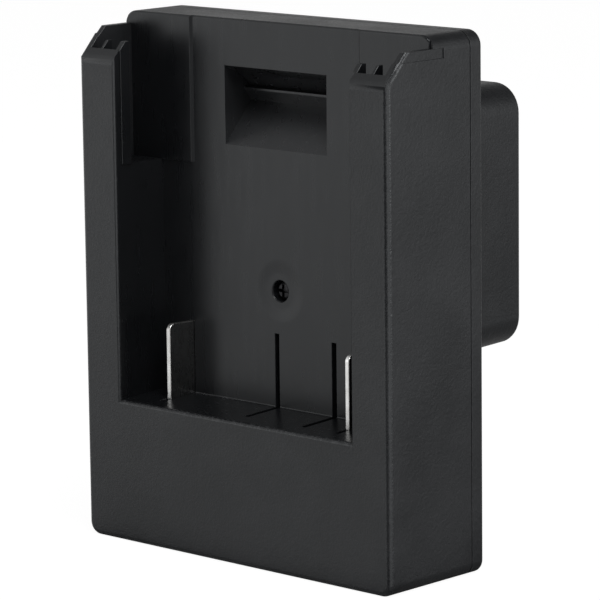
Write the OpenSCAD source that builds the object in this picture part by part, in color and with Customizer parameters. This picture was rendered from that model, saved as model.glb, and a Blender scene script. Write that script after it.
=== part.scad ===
// Tool battery adapter. A slide-on battery pack drops into the bay on the front,
// and the drafted box on the back plugs into the machine that it feeds.
// Origin: centre of the main body's base. +Z is up and the bay opens towards -Y.

/* [Body] */
// Width of the main body
body_w = 86.5; // [82:0.5:96]
// Depth of the main body, without the rear box
body_d = 28.8; // [28:0.1:34]
// Height of the back plate
body_h = 111.3; // [96:0.1:124]
// Wall thickness of both mouldings
wall = 2.2; // [1.8:0.1:2.4]
// Radius of the two lower corners
foot_r = 2.8; // [2.4:0.1:6]
// Radius of the two upper corners
crown_r = 3.2; // [2.6:0.1:8]

/* [Back cover] */
// Depth of the cover's rim, from the seam to the back
cover_d = 3.9; // [3:0.1:4.4]
// Width and depth of the shadow groove along the seam
seam = 0.2; // [0.2:0.05:0.5]
// Bevel along the cover's rear edge
cover_bevel = 0.35; // [0.2:0.05:1.2]
// Thickness of the rim that locates the cover in the housing
rim_t = 1.3; // [1:0.1:1.8]
// Height of that rim
rim_h = 2; // [1:0.1:3]
// Clearance between mating mouldings
fit = 0.2; // [0.1:0.05:0.3]

/* [Battery bay] */
// Clear width between the rails
bay_w = 66; // [60:0.5:68]
// Depth of the bay, from the front plane to its back wall
bay_depth = 14; // [12.5:0.5:14.5]
// Height of the bay floor at its front edge
bay_floor = 30.4; // [28:0.1:36]
// Rise of the bay floor from its front edge to the back wall
floor_rise = 0.6; // [0.1:0.1:1.2]

/* [Rails] */
// Drop from the top of the back plate to the end of the rails' outer skin
rail_drop = 4.7; // [3.6:0.1:12]
// Height of the sloped lead-in at the rails' upper end
lead_in_h = 4; // [2:0.2:5]
// Depth of that lead-in
lead_in_d = 3.7; // [2:0.1:4.2]
// Height of the set-back tip above the outer skin
tip_h = 2; // [1:0.1:2.2]
// Set-back of the tip from the outer skin
tip_inset = 0.25; // [0.2:0.05:0.8]
// Depth of the slope at the front of the tip
tip_slope = 2.1; // [1:0.1:3]
// Run of the tip past the bay's back wall
tip_run = 3; // [1:0.1:5]
// Length of the hook groove behind each lip
groove_run = 26.2; // [16:0.2:34]
// Wall left outside the hook groove
skirt = 2; // [1.6:0.1:2.6]
// Thickness of the lip's skin in front of the groove
lip_skin = 1.8; // [1.4:0.1:2.4]
// Depth of the ribs that back the lip's skin
rib_d = 2.7; // [2:0.1:3.5]
// Thickness of the rib along the lip's inner edge
edge_rib_t = 1.3; // [0.8:0.1:2]
// Thickness of the rib in the middle of the lip
mid_rib_t = 0.7; // [0.5:0.1:1.2]
// Distance from the bay's side to the middle of that rib
mid_rib_x = 5; // [4:0.1:6]
// How far the inner rib stands proud into the bay
rib_proud = 0.4; // [0.2:0.05:0.6]
// Drop from the end of the outer skin to the ribs' flat tops
rib_drop = 0.5; // [0.2:0.1:1]
// Width of the raised pad beside each rail
pad_w = 9.6; // [5:0.1:14]
// Height of that pad above the back wall
pad_t = 0.45; // [0.2:0.05:0.8]

/* [Latch recess] */
// Width of the recess for the pack's latch
latch_w = 28.6; // [20:0.2:40]
// Drop from the top of the back plate to the recess
latch_drop = 9.9; // [8.8:0.1:16]
// Height of the recess
latch_h = 16.4; // [15.4:0.2:17.4]
// Depth of the recess
latch_d = 6; // [5:0.1:6.2]
// Height of the straight ramp at its lower edge
latch_ramp_h = 5.7; // [4:0.1:7]
// Depth between the end of the ramp and the deepest wall
latch_ease = 1.3; // [0.6:0.1:2]
// Height of the upright lip at the top of the deepest wall
latch_lip = 0.5; // [0.3:0.1:0.8]
// Depth of the rounded ceiling behind the deepest wall
latch_ledge = 0.35; // [0.2:0.05:0.6]
// Radius of the rounded ceiling
latch_round = 4.2; // [3:0.1:4.8]
// Rise of the ceiling from its round to the mouth
latch_draft = 0.8; // [0.2:0.1:1.2]

/* [Contacts] */
// Distance between the two blades
blade_pitch = 50; // [44:0.5:52]
// Thickness of a blade
blade_t = 1.1; // [0.8:0.05:1.2]
// Height of the negative blade above the bay floor
negative_h = 16.3; // [12:0.1:19]
// Height of the positive blade above the bay floor
positive_h = 15.7; // [12:0.1:19]
// Reach of the negative blade in front of the back wall
negative_reach = 7.3; // [5:0.1:8.5]
// Reach of the positive blade in front of the back wall
positive_reach = 6.3; // [5:0.1:8.5]
// Radius of a blade's upper front corner
blade_r = 1.5; // [0.5:0.1:2.5]
// Fall of a blade's upper edge towards its tail
blade_fall = 0.6; // [0:0.1:1]
// Depth of a blade below the bay floor
blade_root = 8; // [6:0.5:9]
// Height of the soldering tail behind the carrier
tail_h = 9; // [6:0.5:12]
// Length of that tail
tail_run = 2.6; // [1.5:0.1:2.8]
// Reach of the contact slots in front of the back wall
slot_reach = 9.5; // [8.6:0.1:11]
// Clearance on each side of a blade in its slot
slot_gap = 0.05; // [0.02:0.01:0.15]
// Position of the first unused slot, from the middle
sense_a_x = -0.3; // [-8:0.1:5]
// Position of the second unused slot, from the middle
sense_b_x = 15.7; // [8:0.1:19]

/* [Contact carrier] */
// Material left outside each blade
carrier_margin = 6; // [3:0.5:6.4]
// Thickness of the carrier's webs around its cored pockets
carrier_web = 1.6; // [1.2:0.1:2]
// Thickness of the carrier behind the back wall
carrier_t = 6.2; // [5.4:0.1:6.4]
// Height of the carrier above the top of the blades
carrier_head = 3.7; // [2:0.1:4.5]
// Height of the shelf under the bay floor
shelf_h = 9.6; // [9.2:0.1:12]
// Width of the tongue that takes the carrier screw
tongue_w = 13; // [10:0.5:18]
// Height of the carrier screw
screw_z = 55.6; // [53:0.1:58]
// Position of the carrier screw, from the middle
screw_x = 0.8; // [-3:0.1:3]
// Diameter of the spigot that locates the carrier
spigot_d = 7; // [6:0.1:8]
// Height of that spigot
spigot_h = 2; // [1:0.1:2.6]

/* [Rear box] */
// Width of the box at its rear face
box_w = 70; // [66:0.5:74]
// Height of the box at its rear face
box_h = 54.5; // [52:0.1:56]
// Drop from the top of the back plate to the upper edge of the rear face
box_drop = 13.6; // [12.4:0.1:16]
// Depth of the box behind the main body
box_d = 21.7; // [20:0.1:32]
// Corner radius of the box
box_r = 6; // [4:0.1:9]
// Draft of the box's four sides, in degrees
box_draft = 2; // [0.5:0.1:2.5]
// Bevel along the box's rear edge
box_bevel = 0.5; // [0.4:0.1:1.6]

/* [Output socket] */
// Clear width of the socket
socket_w = 28; // [22:0.5:34]
// Clear height of the socket
socket_h = 14; // [10:0.5:18]
// Wall of the socket insert
socket_wall = 1.6; // [1.2:0.1:2]
// Width of the flange behind the box's rear wall
socket_flange = 2; // [1:0.1:3]
// Thickness of that flange
socket_flange_t = 1.4; // [1:0.1:2]
// Distance between the two output tabs
tab_pitch = 14; // [11:0.5:18]
// Thickness of an output tab
tab_t = 0.8; // [0.5:0.05:1]
// Width of an output tab
tab_w = 6.3; // [4:0.1:8]
// Set-back of an output tab from the rear face
tab_setback = 1.2; // [0.6:0.1:2]
// Length of an output tab in front of the board
tab_stub = 1.6; // [1:0.1:2.5]

/* [Circuit board] */
// Thickness of the board
board_t = 1.6; // [1:0.1:2]
// Gap between the board and the walls of the box
board_gap = 3; // [2:0.1:3.4]
// Height of the posts that carry the board
post_h = 4.9; // [4:0.1:6]
// Diameter of those posts
post_d = 5.6; // [5:0.1:6.4]
// Distance from the board's edges to its screws
board_inset = 3.5; // [3:0.1:4]
// Diameter of the inner leads
lead_d = 2; // [1.4:0.1:2.2]
// Bend radius of the inner leads
lead_bend = 4; // [3:0.1:6]
// Height of the leads' ends above the board's lower edge
lead_rise = 10; // [9:0.1:11]
// Diameter of the filter capacitor
cap_d = 10; // [6:0.1:10.4]
// Height of the filter capacitor
cap_h = 13; // [9:0.1:14]
// Diameter of the fuse
fuse_d = 5.2; // [4.5:0.1:5.6]
// Length of the fuse
fuse_l = 20; // [15:0.5:20.5]
// Length of the fuse's end caps
fuse_cap_l = 5; // [3:0.1:6]
// Width of the transistor
fet_w = 10; // [8:0.1:10.4]
// Length of the transistor's moulded body
fet_l = 9; // [7:0.1:9.2]
// Length of the transistor's cooling tab
fet_tab_l = 6.4; // [5.6:0.1:6.6]
// Thickness of the transistor
fet_t = 4.4; // [3.5:0.1:5]

/* [Fasteners] */
// Shank diameter of the cover screws
cover_screw_d = 2.9; // [2.2:0.1:3.2]
// Length of the cover screws under the head
cover_screw_l = 9; // [6:0.5:9.5]
// Head diameter of the cover screws
cover_head_d = 5.4; // [4.6:0.1:5.6]
// Depth of the head's counterbore in the cover
cover_sink = 1.8; // [1.4:0.1:2]
// Distance from the body's outline to the cover screws
cover_inset = 5.6; // [5.2:0.1:6.4]
// Diameter of the bosses for the cover screws
boss_d = 7; // [6:0.1:7.6]
// Shank diameter of the carrier screw
carrier_screw_d = 2.4; // [2:0.1:2.8]
// Length of the carrier screw under the head
carrier_screw_l = 5.6; // [4:0.1:5.8]
// Head diameter of the carrier screw
carrier_head_d = 4.2; // [3.8:0.1:4.4]
// Bevel at the mouth of the carrier screw's hole
carrier_mouth = 0.2; // [0.1:0.05:0.4]
// Depth of the carrier screw's head below the bay's back wall
carrier_sink = 0.9; // [0.5:0.1:1.2]
// Shank diameter of the board screws
board_screw_d = 2.2; // [1.8:0.1:2.5]
// Length of the board screws under the head
board_screw_l = 5.6; // [4:0.1:5.8]
// Head diameter of the board screws
board_head_d = 4; // [3.4:0.1:4.4]
// Height of the small screws' heads
small_head_h = 1.5; // [1.2:0.1:1.8]
// Height of the cover screws' heads
cover_head_h = 1.6; // [1.2:0.1:1.7]
// Clearance around screws and their heads
screw_gap = 0.1; // [0.05:0.01:0.15]

/* [Hidden] */
$fn = 64;

housing_color = "#2b2c2e";
carrier_color = "#1f2022";
plated_color = "#d3d5d6";
steel_color = "#8f9194";
board_color = "#1f5b39";
chip_color = "#18191a";

// Overlap that makes a cut run cleanly past a face
past = 1;
// Thickness of the slices that a drafted or bevelled form is stretched between, and the facets of their corners
slice = 0.01;
slice_fn = 48;
// Least radius of a corner
least_r = 0.5;
// Planes of the main body along Y
front_y = -body_d / 2;
back_y = body_d / 2;
wall_y = front_y + bay_depth;
chamber_y = wall_y + wall;
seam_y = back_y - cover_d;
// Rails: end of the outer skin, floor of the hook groove, inner face of the outer skirt
rail_h = body_h - rail_drop;
groove_z = rail_h - groove_run;
skirt_x = body_w / 2 - skirt;
tip_z = rail_h + tip_h;
rib_left = bay_w / 2 - rib_proud;
mid_rib_left = bay_w / 2 + mid_rib_x - mid_rib_t / 2;
// Latch recess: its lower edge, the height of its lip, the deepest point of the rounded ceiling
latch_z = body_h - latch_drop - latch_h;
latch_ledge_z = latch_z + latch_h - latch_draft - latch_round;
latch_back_y = wall_y + latch_d + latch_ledge;
// Contacts
blade_x = blade_pitch / 2;
blade_top = bay_floor + max(negative_h, positive_h);
slot_w = blade_t + 2 * slot_gap;
slot_xs = [-blade_x, sense_a_x, sense_b_x, blade_x];
carrier_y = chamber_y + fit;
carrier_back = carrier_y + carrier_t;
shelf_top = bay_floor - wall - fit;
blade_low = bay_floor - blade_root;
shelf_low = shelf_top - shelf_h;
carrier_top = blade_top + carrier_head;
// Top of the slots, just above the blades where these pass through the back wall
blade_lead = max(negative_reach, positive_reach) - blade_r;
slot_top = blade_top - blade_fall * blade_lead / (blade_lead + carrier_back - wall_y) + slot_gap;
tail_y = carrier_back + tail_run;
tail_top = blade_low + tail_h;
lead_y = tail_y - lead_d / 2;
// Rear box
rear_y = back_y + box_d;
box_grow = box_d * tan(box_draft);
box_top = body_h - box_drop;
box_z = box_top - box_h;
box_mid_z = box_z + box_h / 2;
rear_inner = rear_y - wall;
// Circuit board, on posts that stand on the box's rear wall
board_back = rear_inner - post_h;
board_front = board_back - board_t;
board_w = box_w - 2 * (wall + board_gap);
board_h = box_h - 2 * (wall + board_gap);
board_low = box_mid_z - board_h / 2;
post_points = [for (sx = [-1, 1], sz = [-1, 1])
    [sx * (board_w / 2 - board_inset), box_mid_z + sz * (board_h / 2 - board_inset)]];
lead_z = board_low + lead_rise;
// Output socket
socket_rim_w = socket_w + 2 * socket_wall;
socket_rim_h = socket_h + 2 * socket_wall;
socket_floor_t = socket_wall;
// Layout of the board's parts, as offsets from its middle
fuse_at = [0, board_h / 2 - 7];
cap_at = [-board_w / 2 + 9.6, 8];
fet_at = [board_w / 2 - 13, -2];
chip_at = [-7, -13];
resistor_at = [4.5, -14];
diode_at = [15.5, -14];
clip_t = 0.5;
clip_w = 4;
// Cover screws
cover_points = [for (sx = [-1, 1], z = [cover_inset, body_h - cover_inset])
    [sx * (body_w / 2 - cover_inset), z]];
cover_seat = back_y - cover_sink;
pilot_spare = 0.6;
carrier_seat = wall_y + carrier_sink + small_head_h;
screw_at = [screw_x, screw_z];

// A box between two corners
module block(low, high) {
    translate(low) cube(high - low);
}

// An outline in X and Z, extruded from y0 to y1
module slab(y0, y1) {
    translate([0, y1, 0]) rotate([90, 0, 0]) linear_extrude(y1 - y0) children();
}

// An outline in Y and Z, extruded from x0 to x1
module across(x0, x1) {
    translate([x0, 0, 0]) rotate([90, 0, 90]) linear_extrude(x1 - x0) children();
}

// A round bar along Y at a point given in X and Z
module rod(d, y0, y1, at) {
    translate([at[0], y1, at[1]]) rotate([90, 0, 0]) cylinder(d = d, h = y1 - y0);
}

// The shape and its mirror image on the other side
module both_sides() {
    children();
    mirror([1, 0, 0]) children();
}

// Rectangle with its own radii at the lower and the upper corners
module rounded_outline(w, z0, z1, r_low, r_high) {
    translate([-w / 2 + r_low, z0]) square([w - 2 * r_low, r_low]);
    translate([-w / 2, z0 + r_low]) square([w, z1 - z0 - r_low - r_high]);
    translate([-w / 2 + r_high, z1 - r_high]) square([w - 2 * r_high, r_high]);
    for (side = [-1, 1]) {
        translate([side * (w / 2 - r_low), z0 + r_low]) circle(r_low);
        translate([side * (w / 2 - r_high), z1 - r_high]) circle(r_high);
    }
}

// Outline of the main body, set in from its faces
module body_outline(inset) {
    rounded_outline(body_w - 2 * inset, inset, body_h - inset,
        max(foot_r - inset, least_r), max(crown_r - inset, least_r));
}

// Outline of the rear box, grown by the draft or set in by a wall
module box_outline(grow) {
    r = max(box_r + grow, least_r);
    rounded_outline(box_w + 2 * grow, box_z - grow, box_top + grow, r, r);
}

// Drafted box between two planes, with its sides set in
module drafted_box(y0, y1, inset) {
    hull() {
        for (y = [y0, y1])
            slab(y - slice, y) box_outline((rear_y - y) * tan(box_draft) - inset, $fn = slice_fn);
    }
}

// Pan-head screw along Y with a cross recess; the head's underside lies at y, the shank points away
module pan_screw(head_d, head_h, shank_d, length, way) {
    slot_l = head_d * 0.6;
    slot_t = head_d * 0.16;
    point = shank_d * 0.4;
    rotate([way * 90, 0, 0]) difference() {
        rotate_extrude() polygon([
            [0, head_h], [head_d * 0.3, head_h], [head_d * 0.45, head_h * 0.75], [head_d / 2, head_h * 0.35],
            [head_d / 2, 0], [shank_d / 2, 0], [shank_d / 2, point - length], [shank_d * 0.15, -length],
            [0, -length]]);
        for (turn = [0, 90])
            rotate(turn) translate([-slot_l / 2, -slot_t / 2, head_h * 0.4]) cube([slot_l, slot_t, head_h]);
    }
}

// Side view of the rails, with the sloped lead-in at the upper end
module rail_profile() {
    polygon([[front_y, 0], [wall_y, 0], [wall_y, rail_h], [front_y + lead_in_d, rail_h],
        [front_y, rail_h - lead_in_h]]);
}

// Set-back tip that carries on above the rail's outer skin
module rail_tip() {
    start = front_y + lead_in_d + tip_inset;
    across(skirt_x, body_w / 2 - tip_inset)
        polygon([[start, rail_h - past], [start, rail_h], [start + tip_slope, tip_z], [wall_y + tip_run, tip_z],
            [wall_y + tip_run, rail_h - past]]);
}

// Space that the battery pack fills, with its slightly rising floor
module bay() {
    across(-bay_w / 2, bay_w / 2)
        polygon([[front_y - past, bay_floor], [front_y, bay_floor], [wall_y, bay_floor + floor_rise],
            [wall_y, body_h + past], [front_y - past, body_h + past]]);
}

// Side of the plate cut back behind the rail's tip
module tip_notch() {
    block([body_w / 2 - tip_inset, wall_y - past, rail_h], [body_w / 2 + past, wall_y + tip_run, tip_z]);
}

// Groove behind a lip's skin that takes the pack's hook
module hook_groove() {
    block([bay_w / 2 - past, front_y + lip_skin, groove_z], [skirt_x, wall_y, body_h + past]);
}

// Rib behind a lip's skin, rooted in the skin and in the groove's floor
module lip_rib(x, t) {
    rear = front_y + lip_skin + rib_d;
    block([x, front_y + lip_skin, groove_z], [x + t, rear, rail_h - rib_drop]);
    block([max(x, bay_w / 2), front_y + lip_skin / 2, groove_z - wall / 2], [x + t, rear, rail_h - rib_drop]);
}

// Both ribs of a lip, with the rail's sloped lead-in at their upper ends
module lip_ribs() {
    intersection() {
        union() {
            lip_rib(rib_left, edge_rib_t);
            lip_rib(mid_rib_left, mid_rib_t);
        }
        across(0, body_w) rail_profile();
    }
}

// Raised pad on the back wall beside a rail
module guide_pad() {
    intersection() {
        block([bay_w / 2 - pad_w, wall_y - pad_t, groove_z], [skirt_x + skirt / 2, wall_y + wall / 2, body_h]);
        slab(front_y, back_y) body_outline(0);
    }
}

// Recess for the pack's latch: a ramp, a steep wall with a lip, and a rounded ceiling
module latch_recess() {
    across(-latch_w / 2, latch_w / 2)
        polygon(concat(
            [[wall_y - past, latch_z], [wall_y, latch_z],
                [wall_y + latch_d - latch_ease, latch_z + latch_ramp_h],
                [wall_y + latch_d, latch_ledge_z - latch_lip], [wall_y + latch_d, latch_ledge_z]],
            [for (a = [0:7.5:90])
                [latch_back_y - latch_round + latch_round * cos(a), latch_ledge_z + latch_round * sin(a)]],
            [[wall_y, latch_z + latch_h], [wall_y - past, latch_z + latch_h]]));
}

// Material kept behind the latch recess
module latch_pocket() {
    block([-latch_w / 2 - wall, chamber_y - past, latch_z],
        [latch_w / 2 + wall, latch_back_y + wall, latch_z + latch_h + wall]);
}

// L-shaped slots through the bay's floor and back wall
module contact_slots() {
    for (x = slot_xs)
        block([x - slot_w / 2, wall_y - slot_reach, shelf_top - past],
            [x + slot_w / 2, chamber_y + past, slot_top]);
}

// Hollow of the front housing, open at the seam
module housing_cavity() {
    inner_w = body_w - 2 * wall;
    core_w = (body_w - bay_w) / 2 - 2 * wall;
    difference() {
        union() {
            slab(chamber_y, seam_y + past) body_outline(wall);
            slab(front_y + wall, seam_y + past) intersection() {
                body_outline(wall);
                union() {
                    translate([-inner_w / 2, 0]) square([inner_w, bay_floor - wall]);
                    for (x = [-inner_w / 2, inner_w / 2 - core_w])
                        translate([x, 0]) square([core_w, groove_z - wall]);
                }
            }
        }
        latch_pocket();
        for (at = cover_points) rod(boss_d, front_y + wall / 2, seam_y, at);
        rod(spigot_d, wall_y, chamber_y + spigot_h, screw_at);
    }
}

module front_housing() {
    pilot_end = cover_seat - cover_screw_l - pilot_spare;
    color(housing_color) difference() {
        union() {
            difference() {
                union() {
                    slab(wall_y, seam_y) body_outline(0);
                    intersection() {
                        slab(front_y, wall_y) rounded_outline(body_w, 0, body_h, foot_r, least_r);
                        across(-body_w / 2, body_w / 2) rail_profile();
                    }
                    both_sides() rail_tip();
                }
                bay();
                both_sides() tip_notch();
                both_sides() hook_groove();
            }
            both_sides() lip_ribs();
            both_sides() guide_pad();
        }
        latch_recess();
        contact_slots();
        housing_cavity();
        for (at = cover_points) rod(cover_screw_d + 2 * screw_gap, pilot_end, seam_y + past, at);
        screw_hole();
    }
}

// Stepped hole for the carrier screw, with a bevelled mouth
module screw_hole() {
    sink_d = carrier_head_d + 2 * screw_gap;
    rod(sink_d, wall_y - past, carrier_seat, screw_at);
    rod(carrier_screw_d + 2 * screw_gap, wall_y, chamber_y + spigot_h + past, screw_at);
    translate([screw_x, wall_y + carrier_mouth, screw_z]) rotate([90, 0, 0])
        cylinder(d1 = sink_d, d2 = sink_d + 4 * carrier_mouth, h = 2 * carrier_mouth);
}

module back_cover() {
    plate_y = back_y - wall;
    rim_inset = wall + fit;
    color(housing_color) difference() {
        union() {
            difference() {
                union() {
                    slab(seam_y, seam_y + seam) body_outline(seam);
                    slab(seam_y + seam, back_y - cover_bevel) body_outline(0);
                    cover_edge();
                    drafted_box(back_y - wall / 2, rear_y - box_bevel, 0);
                    box_edge();
                }
                difference() {
                    slab(seam_y - past, plate_y) body_outline(wall);
                    for (at = cover_points) rod(boss_d, seam_y, back_y, at);
                }
                drafted_box(seam_y - past, rear_inner, wall);
            }
            difference() {
                slab(seam_y - rim_h, plate_y + wall / 2) body_outline(rim_inset);
                slab(seam_y - rim_h - past, back_y) body_outline(rim_inset + rim_t);
                for (at = cover_points) rod(boss_d + 2 * fit, seam_y - rim_h - past, seam_y, at);
            }
            for (at = post_points) rod(post_d, board_back, rear_inner + wall / 2, at);
        }
        slab(rear_inner - past, rear_y + past)
            rounded_outline(socket_rim_w + 2 * fit, box_mid_z - socket_rim_h / 2 - fit,
                box_mid_z + socket_rim_h / 2 + fit, socket_wall, socket_wall);
        for (at = cover_points) {
            rod(cover_screw_d + 2 * screw_gap, seam_y - past, back_y + past, at);
            rod(cover_head_d + 2 * screw_gap, cover_seat, back_y + past, at);
        }
        for (at = post_points)
            rod(board_screw_d + 2 * screw_gap, board_back - past,
                board_front + board_screw_l + pilot_spare, at);
    }
}

// Bevelled rear edge of the cover's rim
module cover_edge() {
    hull() {
        slab(back_y - cover_bevel - slice, back_y - cover_bevel) body_outline(0, $fn = slice_fn);
        slab(back_y - slice, back_y) body_outline(cover_bevel, $fn = slice_fn);
    }
}

// Bevelled rear edge of the box
module box_edge() {
    hull() {
        slab(rear_y - box_bevel - slice, rear_y - box_bevel)
            box_outline(box_bevel * tan(box_draft), $fn = slice_fn);
        slab(rear_y - slice, rear_y) box_outline(-box_bevel, $fn = slice_fn);
    }
}

module contact_carrier() {
    half = blade_x + carrier_margin;
    tongue_top = screw_z + spigot_d / 2 + fit + carrier_web;
    shelf_front = front_y + wall + fit;
    color(carrier_color) difference() {
        union() {
            across(-half, half)
                polygon([[shelf_front, shelf_low], [carrier_back, shelf_low], [carrier_back, carrier_top],
                    [carrier_y, carrier_top], [carrier_y, shelf_top], [shelf_front, shelf_top]]);
            block([screw_x - tongue_w / 2, carrier_y, carrier_top - past],
                [screw_x + tongue_w / 2, carrier_back, tongue_top]);
        }
        for (x = slot_xs)
            block([x - slot_w / 2, wall_y - slot_reach, blade_low - slot_gap],
                [x + slot_w / 2, carrier_back + past, slot_top]);
        for (i = [0:len(slot_xs) - 2])
            block([slot_xs[i] + slot_w / 2 + carrier_web, shelf_front + carrier_web, shelf_low - past],
                [slot_xs[i + 1] - slot_w / 2 - carrier_web, carrier_back - carrier_web,
                    shelf_top - carrier_web]);
        rod(spigot_d + 2 * fit, carrier_y - past, chamber_y + spigot_h + fit, screw_at);
        rod(carrier_screw_d + 2 * screw_gap, carrier_y, carrier_back + past, screw_at);
    }
}

// Contact blade: it stands in the bay, and its tail comes out behind the carrier
module blade(x, reach, height) {
    front = wall_y - reach;
    top = bay_floor + height;
    color(plated_color) across(x - blade_t / 2, x + blade_t / 2) union() {
        translate([front + blade_r, top - blade_r]) circle(blade_r);
        polygon([[front, blade_low], [tail_y, blade_low], [tail_y, tail_top], [carrier_back, tail_top],
            [carrier_back, top - blade_fall], [front + blade_r, top],
            [front + blade_r, top - blade_r], [front, top - blade_r]]);
    }
}

module positive_blade() {
    blade(blade_x, positive_reach, positive_h);
}

module negative_blade() {
    blade(-blade_x, negative_reach, negative_h);
}

module carrier_screw() {
    color(steel_color) translate([screw_x, carrier_seat, screw_z])
        pan_screw(carrier_head_d, small_head_h, carrier_screw_d, carrier_screw_l, 1);
}

module cover_screws() {
    color(steel_color) for (at = cover_points) translate([at[0], cover_seat, at[1]])
        pan_screw(cover_head_d, cover_head_h, cover_screw_d, cover_screw_l, -1);
}

module board_screws() {
    color(steel_color) for (at = post_points) translate([at[0], board_front, at[1]])
        pan_screw(board_head_d, small_head_h, board_screw_d, board_screw_l, 1);
}

module circuit_board() {
    color(board_color) difference() {
        block([-board_w / 2, board_front, board_low], [board_w / 2, board_back, board_low + board_h]);
        for (at = post_points) rod(board_screw_d + 2 * screw_gap, board_front - past, board_back + past, at);
        for (x = [-tab_pitch / 2, tab_pitch / 2])
            block([x - tab_t / 2 - slot_gap, board_front - past, box_mid_z - tab_w / 2 - slot_gap],
                [x + tab_t / 2 + slot_gap, board_back + past, box_mid_z + tab_w / 2 + slot_gap]);
    }
}

// Inner lead: up from a blade's tail, then back to the board in one bend.
// Each ring holds its centre in Y and Z and the angle of its plane.
module lead(x) {
    sides = 10;
    centre = [lead_y + lead_bend, lead_z - lead_bend];
    rings = concat([[lead_y, tail_top, 0]],
        [for (a = [0:15:90]) [centre[0] - lead_bend * cos(a), centre[1] + lead_bend * sin(a), a]],
        [[board_front, lead_z, 90]]);
    points = [for (ring = rings, k = [0:sides - 1])
        let (t = 360 * k / sides, out = lead_d / 2 * cos(t))
        [x + lead_d / 2 * sin(t), ring[0] - out * cos(ring[2]), ring[1] + out * sin(ring[2])]];
    last = len(rings) - 1;
    walls = [for (i = [0:last - 1], k = [0:sides - 1])
        let (a = i * sides + k, b = i * sides + (k + 1) % sides)
        each [[a, b, a + sides], [b, b + sides, a + sides]]];
    ends = [[for (k = [sides - 1:-1:0]) k], [for (k = [0:sides - 1]) last * sides + k]];
    polyhedron(points, concat(walls, ends));
}

module positive_lead() {
    color("#b3261e") lead(blade_x);
}

module negative_lead() {
    color("#1b1b1c") lead(-blade_x);
}

// Frame of a part on the board: origin on the board's front face, +Z away from the board
module on_board(at) {
    translate([at[0], board_front, box_mid_z + at[1]]) rotate([90, 0, 0]) children();
}

module fuse() {
    cap_skin = 0.2;
    cap_end = 1;
    color("#d8d2c4") on_board(fuse_at) translate([0, 0, fuse_d / 2 + clip_t]) rotate([0, 90, 0]) {
        cylinder(d = fuse_d - 2 * cap_skin, h = fuse_l - 2 * cap_end, center = true);
        for (side = [-1, 1])
            translate([0, 0, side * (fuse_l - fuse_cap_l) / 2])
                cylinder(d = fuse_d, h = fuse_cap_l, center = true);
    }
}

// Two clips: a foot and two spring cheeks each
module fuse_clips() {
    grip = fuse_d + 2 * slot_gap;
    cheek_h = fuse_d * 0.8;
    color(plated_color) on_board(fuse_at) for (side = [-1, 1])
        translate([side * (fuse_l - fuse_cap_l) / 2, 0, 0]) {
            translate([-clip_w / 2, -grip / 2 - clip_t, 0]) cube([clip_w, grip + 2 * clip_t, clip_t]);
            for (cheek = [-grip / 2 - clip_t, grip / 2])
                translate([-clip_w / 2, cheek, 0]) cube([clip_w, clip_t, cheek_h]);
        }
}

module filter_capacitor() {
    crimp = 0.5;
    crimp_z = 2;
    foot_bevel = 0.3;
    head_bevel = 0.6;
    color("#3a3f5c") on_board(cap_at) rotate_extrude() polygon([
        [0, 0], [cap_d / 2 - foot_bevel, 0], [cap_d / 2, foot_bevel], [cap_d / 2, crimp_z - crimp],
        [cap_d / 2 - crimp, crimp_z], [cap_d / 2, crimp_z + crimp], [cap_d / 2, cap_h - head_bevel],
        [cap_d / 2 - head_bevel, cap_h], [0, cap_h]]);
}

// Power transistor: moulded body, drilled cooling tab and three legs, flat on the board
module cutoff_transistor() {
    sheet = 1.3;
    leg = [0.8, 3.5, 0.6];
    leg_pitch = 2.54;
    tab_hole_d = 3.6;
    color(chip_color) on_board(fet_at) difference() {
        union() {
            translate([-fet_w / 2, 0, 0]) cube([fet_w, fet_l, fet_t]);
            translate([-fet_w / 2, fet_l - past, 0]) cube([fet_w, fet_tab_l + past, sheet]);
            for (i = [-1:1]) translate([i * leg_pitch - leg[0] / 2, -leg[1], 0]) cube(leg + [0, past, 0]);
        }
        translate([0, fet_l + fet_tab_l / 2, -past]) cylinder(d = tab_hole_d, h = sheet + 2 * past);
    }
}

// Small eight-leg chip
module control_chip() {
    chip = [4.9, 3.9, 1.5];
    leg = [0.4, 1.1, 0.25];
    leg_pitch = 1.27;
    leg_root = 0.1;
    color(chip_color) on_board(chip_at) {
        translate([-chip[0] / 2, -chip[1] / 2, 0]) cube(chip);
        for (i = [0:3], side = [-1, 1])
            translate([(i - 1.5) * leg_pitch, side * ((chip[1] + leg[1]) / 2 - leg_root), leg[2] / 2])
                cube(leg, center = true);
    }
}

module sense_resistor() {
    chip = [5.1, 3.2, 0.7];
    cap = [1, 3.2, 0.8];
    cap_x = 2.65;
    color(chip_color) on_board(resistor_at) {
        translate([0, 0, chip[2] / 2]) cube(chip, center = true);
        for (x = [-cap_x, cap_x]) translate([x, 0, cap[2] / 2]) cube(cap, center = true);
    }
}

module protection_diode() {
    body = [6.8, 5.9, 2.3];
    foot = [7.9, 3, 0.4];
    color(chip_color) on_board(diode_at) {
        translate([-body[0] / 2, -body[1] / 2, 0]) cube(body);
        translate([-foot[0] / 2, -foot[1] / 2, 0]) cube(foot);
    }
}

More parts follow.
